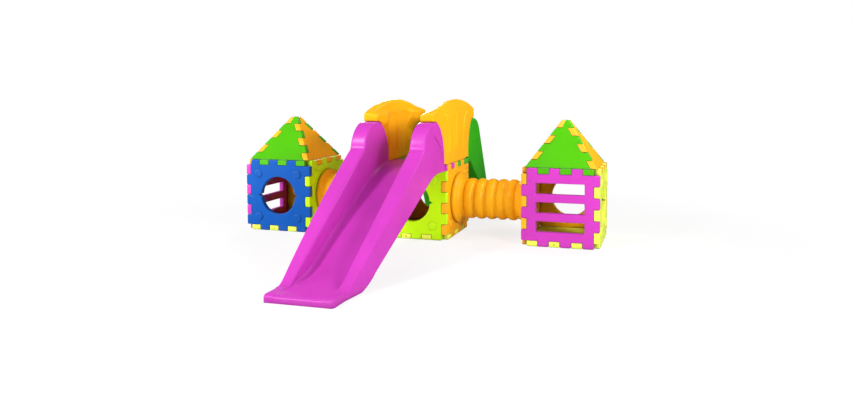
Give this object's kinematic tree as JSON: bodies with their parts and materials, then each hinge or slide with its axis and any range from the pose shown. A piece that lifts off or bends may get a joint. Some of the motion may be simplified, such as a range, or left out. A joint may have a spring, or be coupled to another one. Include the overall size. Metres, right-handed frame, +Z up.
{
  "type": "modular playset with slide",
  "caption": "Children's modular plastic playset: pitched-roof cube playhouses joined by ribbed crawl tunnels to a raised deck with a slide, climbing steps and side guards.",
  "frame": {"origin": "on the ground, under the middle of the whole set; X = 0 is the tower's centre line", "axes": "+Z up, +X along the row of cubes from the left house to the right house, +Y from the slide towards the climbing steps"},
  "size_m": [4.211, 4.2582, 1.562],
  "materials": {
    "left_house_front_panel": "satin moulded polyethylene",
    "left_house_right_panel": "satin moulded polyethylene",
    "left_house_back_panel": "satin moulded polyethylene",
    "left_house_left_panel": "satin moulded polyethylene",
    "left_house_floor_panel": "satin moulded polyethylene",
    "right_house_front_panel": "satin moulded polyethylene",
    "right_house_right_panel": "satin moulded polyethylene",
    "right_house_back_panel": "satin moulded polyethylene",
    "right_house_left_panel": "satin moulded polyethylene",
    "right_house_floor_panel": "satin moulded polyethylene",
    "tower_front_panel": "satin moulded polyethylene",
    "tower_right_panel": "satin moulded polyethylene",
    "tower_back_panel": "satin moulded polyethylene",
    "tower_left_panel": "satin moulded polyethylene",
    "tower_floor_panel": "satin moulded polyethylene",
    "left_house_roof_front": "satin moulded polyethylene",
    "left_house_roof_right": "satin moulded polyethylene",
    "left_house_roof_back": "satin moulded polyethylene",
    "left_house_roof_left": "satin moulded polyethylene",
    "right_house_roof_front": "satin moulded polyethylene",
    "right_house_roof_right": "satin moulded polyethylene",
    "right_house_roof_back": "satin moulded polyethylene",
    "right_house_roof_left": "satin moulded polyethylene",
    "slide": "satin moulded polyethylene",
    "climbing_steps": "satin moulded polyethylene",
    "guard_left": "satin moulded polyethylene",
    "guard_right": "satin moulded polyethylene",
    "left_tunnel": "satin moulded polyethylene",
    "right_tunnel": "satin moulded polyethylene"
  },
  "bodies": {
    "root": {"left_house_front_panel": "left_house_front_panel", "left_house_right_panel": "left_house_right_panel", "left_house_back_panel": "left_house_back_panel", "left_house_left_panel": "left_house_left_panel", "left_house_floor_panel": "left_house_floor_panel", "right_house_front_panel": "right_house_front_panel", "right_house_right_panel": "right_house_right_panel", "right_house_back_panel": "right_house_back_panel", "right_house_left_panel": "right_house_left_panel", "right_house_floor_panel": "right_house_floor_panel", "tower_front_panel": "tower_front_panel", "tower_right_panel": "tower_right_panel", "tower_back_panel": "tower_back_panel", "tower_left_panel": "tower_left_panel", "tower_floor_panel": "tower_floor_panel", "left_house_roof_front": "left_house_roof_front", "left_house_roof_right": "left_house_roof_right", "left_house_roof_back": "left_house_roof_back", "left_house_roof_left": "left_house_roof_left", "right_house_roof_front": "right_house_roof_front", "right_house_roof_right": "right_house_roof_right", "right_house_roof_back": "right_house_roof_back", "right_house_roof_left": "right_house_roof_left", "slide": "slide", "climbing_steps": "climbing_steps", "guard_left": "guard_left", "guard_right": "guard_right", "left_tunnel": "left_tunnel", "right_tunnel": "right_tunnel"}
  },
  "joints": []
}
